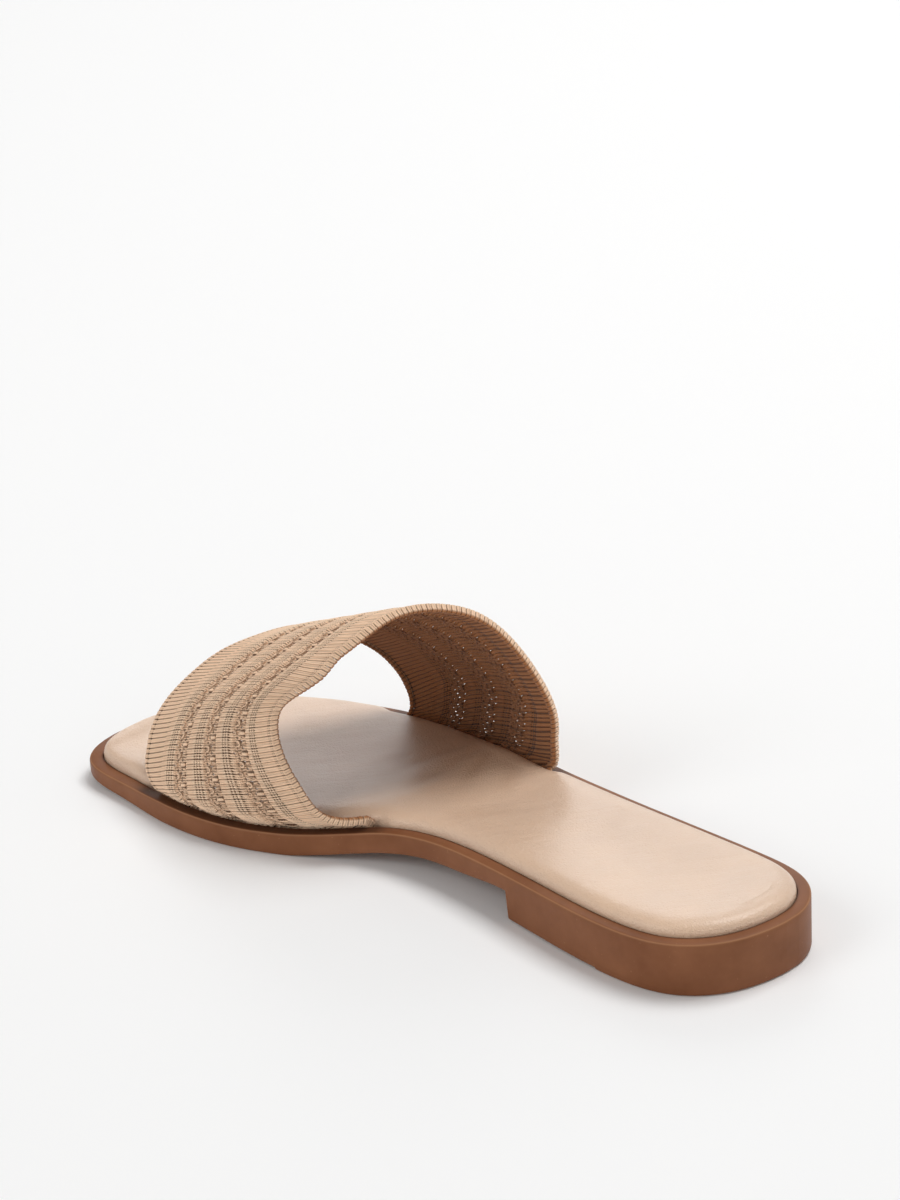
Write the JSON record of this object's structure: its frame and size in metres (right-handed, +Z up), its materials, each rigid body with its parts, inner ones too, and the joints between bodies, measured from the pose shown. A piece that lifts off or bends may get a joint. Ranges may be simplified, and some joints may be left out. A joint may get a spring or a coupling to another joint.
{
  "type": "slide sandal",
  "caption": "Flat open-toe slide sandal: a wide knitted strap over a padded footbed, set in the rimmed tray of a moulded outsole with a low heel.",
  "frame": {"origin": "centre of the shoe's bounding box on the floor that it stands on", "axes": "+Y from heel to toe, +X towards the little-toe side, +Z up"},
  "size_m": [0.0972, 0.2558, 0.0759],
  "materials": {
    "outsole_rubber": "moulded brown rubber, satin, with a lighter burnished upper edge",
    "footbed_leather": "beige satin leather with a fine grain over a thin pad",
    "strap_knit": "matt sand-coloured knit, ribbed bands and openwork bands"
  },
  "bodies": {
    "root": {"outsole": "outsole_rubber", "footbed": "footbed_leather", "strap": "strap_knit"}
  },
  "joints": []
}
